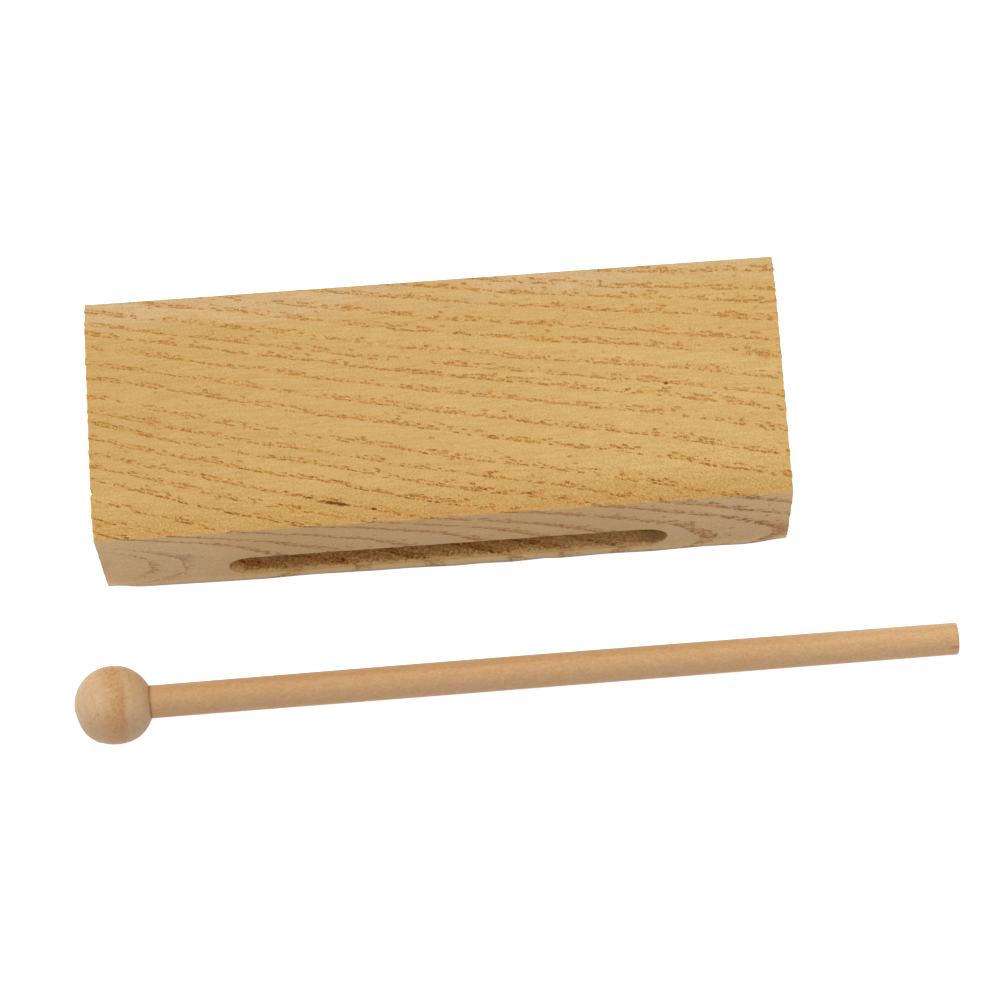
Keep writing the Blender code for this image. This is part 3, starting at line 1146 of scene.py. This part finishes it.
# The beater in millimetres: its own axis runs from the middle of the ball, through the bore, to the tail.
# The shaft swells by these amounts at shares of its length, and bows sideways.
BALL_LOW, BALL_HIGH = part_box("beater_ball")
SHAFT_LOW, SHAFT_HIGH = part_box("beater_shaft")
BEATER_LENGTH = 231.2
BALL_RADIUS = 10.25
HEAD_RADIUS = 4.3
TAIL_RADIUS = 4.2
SHAFT_SWELL = ((0.0, 0.0), (0.2, 0.07), (0.4, 0.15), (0.6, 0.14), (0.8, 0.07), (0.9, 0.035), (1.0, 0.0))
SHAFT_BOW = 0.12
SHAFT_EASE = 0.35
BORE_CLEARANCE = 0.06
BORE_DEPTH = 12.5
BORE_END_GAP = 0.3
BORE_MOUTH_WIDER = 0.12
BORE_MOUTH_DEPTH = 0.1
TAIL_LIFT = 0.4
GLUE_GAP = 0.3
TURNED_STEPS = 128
BALL_STEPS = 90
SHAFT_STEPS = 220

# The shaft's slant on the table, and where its line crosses X = 0
BEATER_SLANT = math.radians(0.865)
BALL_MIDDLE_Y = (BALL_LOW.y + BALL_HIGH.y) / 2 / MM
SHAFT_START_Y = BALL_MIDDLE_Y - math.tan(BEATER_SLANT) * (BALL_LOW.x / MM + BALL_RADIUS)

# How the ball's outside differs from a true ball: the way each swell or flat faces, how far round it
# reaches in degrees, and its height in millimetres
BALL_SWELL = 0.04
BALL_LUMPS = (
    ((0.707, -0.672, -0.22), 90.0, 0.24),
    ((0.0, -0.95, -0.31), 32.0, -0.1),
    ((-0.643, -0.728, -0.238), 30.0, 0.26),
    ((-0.951, -0.294, -0.096), 24.0, -0.22),
    ((-0.087, 0.946, 0.309), 34.0, -0.12),
    ((0.643, -0.728, -0.238), 30.0, 0.14),
    ((-0.438, -0.854, -0.279), 5.0, 0.14),
)

# The stain at the glued joint starts here, and the tail's brown streak is here, in millimetres
GLUE_LINE = BALL_LOW.x / MM + 2 * BALL_RADIUS - 0.55
TAIL_STREAK = (130.4, -3.1)


def ball_middle():
    """The middle of the ball, in metres."""
    return Vector((BALL_LOW.x + BALL_RADIUS * MM, BALL_MIDDLE_Y * MM, BALL_RADIUS * MM))


def beater_matrix():
    """From the beater's own axis to the table, where the ball and the tail touch it."""
    contact = BEATER_LENGTH - BALL_RADIUS - TAIL_LIFT
    lean = math.asin(BALL_RADIUS / math.hypot(contact, TAIL_RADIUS)) - math.atan2(TAIL_RADIUS, contact)
    turn = Matrix.Rotation(BEATER_SLANT, 4, "Z") @ Matrix.Rotation(lean, 4, "Y")
    return Matrix.Translation(ball_middle()) @ turn @ Matrix.Scale(MM, 4)


def turned(name, profile, material):
    """A solid turned on the beater's axis. The profile is (along, radius) points from pole to pole."""
    points, faces, rings = [], [], []
    for along, radius in profile:
        if radius == 0.0:
            rings.append([len(points)])
            points.append((along, 0.0, 0.0))
            continue
        ring = []
        for i in range(TURNED_STEPS):
            angle = 2 * math.pi * i / TURNED_STEPS
            ring.append(len(points))
            points.append((along, radius * math.cos(angle), radius * math.sin(angle)))
        rings.append(ring)
    for first, second in zip(rings, rings[1:]):
        for i in range(TURNED_STEPS):
            after = (i + 1) % TURNED_STEPS
            corners = [first[i % len(first)], first[after % len(first)]]
            corners += [second[after % len(second)], second[i % len(second)]]
            faces.append(list(dict.fromkeys(corners)))
    matrix = beater_matrix()
    placed = []
    for along, side, up in points:
        share = max(along, 0.0) / BEATER_LENGTH
        placed.append(matrix @ Vector((along, side + SHAFT_BOW * 4 * share * (1 - share), up)))
    return mesh_object(name, placed, faces, material)


def shape_ball(ball):
    """Gives the ball's outside its slight flats and swells, and keeps it above the table.

    Points that lie deeper belong to the bore, and stay where they are.
    """
    middle = ball_middle()
    outside = (BALL_RADIUS - 0.02) * MM
    for point in ball.data.vertices:
        away = point.co - middle
        if away.length < outside:
            continue
        facing = away.normalized()
        change = BALL_SWELL
        for direction, reach, height in BALL_LUMPS:
            angle = math.degrees(facing.angle(Vector(direction)))
            change += height * float(eased(1 - angle / reach))
        point.co += facing * change * MM
        point.co.z = max(point.co.z, 0.0)


def make_ball():
    """The turned ball with the blind bore that the shaft sits in."""
    bore = HEAD_RADIUS + BORE_CLEARANCE
    mouth = math.asin((bore + BORE_MOUTH_WIDER) / BALL_RADIUS)
    end_x = math.sqrt(BALL_RADIUS**2 - bore**2) - BORE_DEPTH
    wall = BALL_RADIUS * math.cos(mouth) - BORE_MOUTH_DEPTH - end_x
    wall_steps = 8
    profile = [(end_x, 0.0), (end_x, bore / 2)]
    for i in range(wall_steps + 1):
        profile.append((end_x + wall * i / wall_steps, bore))
    for i in range(BALL_STEPS + 1):
        angle = mouth + (math.pi - mouth) * i / BALL_STEPS
        radius = 0.0 if i == BALL_STEPS else BALL_RADIUS * math.sin(angle)
        profile.append((BALL_RADIUS * math.cos(angle), radius))
    ball = turned("turned_ball", profile, ball_wood())
    shape_ball(ball)
    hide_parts("beater_ball")
    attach(ball, "beater")


def make_shaft():
    """The dowel, a little thicker in the middle, its end edges eased."""
    bore_bottom = math.sqrt(BALL_RADIUS**2 - (HEAD_RADIUS + GLUE_GAP) ** 2) - BORE_DEPTH
    start = bore_bottom + BORE_END_GAP
    tail = BEATER_LENGTH - BALL_RADIUS
    profile = [(start, 0.0), (start, HEAD_RADIUS - SHAFT_EASE)]
    stretch = tail - start - 2 * SHAFT_EASE
    for i in range(SHAFT_STEPS + 1):
        along = start + SHAFT_EASE + stretch * i / SHAFT_STEPS
        share = along / tail
        taper = HEAD_RADIUS + (TAIL_RADIUS - HEAD_RADIUS) * max(share, 0.0)
        profile.append((along, taper + float(np.interp(share, *zip(*SHAFT_SWELL)))))
    turn = SHAFT_EASE * 0.3
    profile += [(tail - turn, TAIL_RADIUS - turn), (tail, TAIL_RADIUS - SHAFT_EASE)]
    profile += [(tail, TAIL_RADIUS / 2), (tail, 0.0)]
    shaft = turned("dowel_shaft", profile, dowel_wood())
    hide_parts("beater_shaft")
    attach(shaft, "beater")


def make_camera():
    """The camera, turned about its own line of sight last."""
    data = bpy.data.cameras.new("Camera")
    data.lens = LENS
    data.sensor_width = SENSOR
    camera = bpy.data.objects.new("Camera", data)
    bpy.context.scene.collection.objects.link(camera)
    back = Vector((
        math.sin(CAMERA_AZIMUTH) * math.cos(CAMERA_ELEVATION),
        -math.cos(CAMERA_AZIMUTH) * math.cos(CAMERA_ELEVATION),
        math.sin(CAMERA_ELEVATION),
    ))
    camera.rotation_mode = "QUATERNION"
    level = (-back).to_track_quat("-Z", "Y").to_matrix().to_4x4()
    camera.rotation_quaternion = (level @ Matrix.Rotation(CAMERA_ROLL, 4, "Z")).to_quaternion()
    camera.location = CAMERA_TARGET + back * CAMERA_DISTANCE
    bpy.context.scene.camera = camera


# The white table and room: how far the table reaches, its paint, and how much it glows to the camera
TABLE_REACH = 3.0
TABLE_PAINT = (0.86, 0.86, 0.86, 1.0)
TABLE_GLOW = 0.7
ROOM_COLOUR = (0.90, 0.98, 1.10, 1.0)
ROOM_STRENGTH = 0.54

# The lamps: where each is, its length and width in metres, its power in watts and its colour
LAMPS = (
    ("Softbox", (-0.44, 0.45, 1.28), (1.3, 1.05), 12.5, (1.0, 0.93, 0.82)),
    ("Front fill", (0.5, -1.0, 0.8), (1.0, 0.5), 1.75, (0.88, 0.97, 1.1)),
)


def area_light(name, location, size, power, colour):
    """A rectangular lamp that faces the origin."""
    data = bpy.data.lights.new(name, "AREA")
    data.shape = "RECTANGLE"
    data.size, data.size_y = size
    data.energy = power
    data.color = colour
    lamp = bpy.data.objects.new(name, data)
    lamp.location = location
    lamp.rotation_euler = (-Vector(location)).to_track_quat("-Z", "Y").to_euler()
    bpy.context.scene.collection.objects.link(lamp)


def seen_directly(p):
    """1 for what the camera sees straight, in a mirror or through glass, and 0 for light on the object."""
    rays = p.node("ShaderNodeLightPath").outputs
    seen = p.highest(rays["Is Camera Ray"], rays["Is Glossy Ray"])
    return p.highest(seen, rays["Is Transmission Ray"])


def emptied(owner):
    """The pattern writer of a material's or world's node tree, cleared of its first nodes."""
    owner.use_nodes = True
    owner.node_tree.nodes.clear()
    return Pattern(owner.node_tree)


def make_studio():
    """A white table, a soft lamp overhead, a weak one in front, and an even, slightly cool room."""
    mesh = bpy.data.meshes.new("table")
    corners = [(x * TABLE_REACH, y * TABLE_REACH, 0.0) for x, y in ((-1, -1), (1, -1), (1, 1), (-1, 1))]
    mesh.from_pydata(corners, [], [(0, 1, 2, 3)])
    table = bpy.data.objects.new("table", mesh)
    bpy.context.scene.collection.objects.link(table)
    material = bpy.data.materials.new("White table")
    p = emptied(material)
    paint = p.named("ShaderNodeBsdfDiffuse", {"Color": TABLE_PAINT}).outputs[0]
    glow = p.named("ShaderNodeEmission", {"Strength": p.times(seen_directly(p), TABLE_GLOW)}).outputs[0]
    both = p.filled("ShaderNodeAddShader", paint, glow).outputs[0]
    p.named("ShaderNodeOutputMaterial", {"Surface": both})
    mesh.materials.append(material)

    world = bpy.data.worlds.new("Room")
    bpy.context.scene.world = world
    p = emptied(world)
    room = p.named("ShaderNodeBackground", {"Color": ROOM_COLOUR, "Strength": ROOM_STRENGTH}).outputs[0]
    backdrop = p.named("ShaderNodeBackground", {"Strength": 1.0}).outputs[0]
    choice = p.filled("ShaderNodeMixShader", seen_directly(p), room, backdrop).outputs[0]
    p.named("ShaderNodeOutputWorld", {"Surface": choice})
    for lamp in LAMPS:
        area_light(*lamp)


TIMBER_SHADER = timber_group("ShaderNodeTree")
TIMBER_GEOMETRY = timber_group("GeometryNodeTree")
CLOSE_GRAIN = close_grain_group()

make_block()
make_ball()
make_shaft()
make_camera()
make_studio()

view = bpy.context.scene.view_settings
view.view_transform = "Standard"
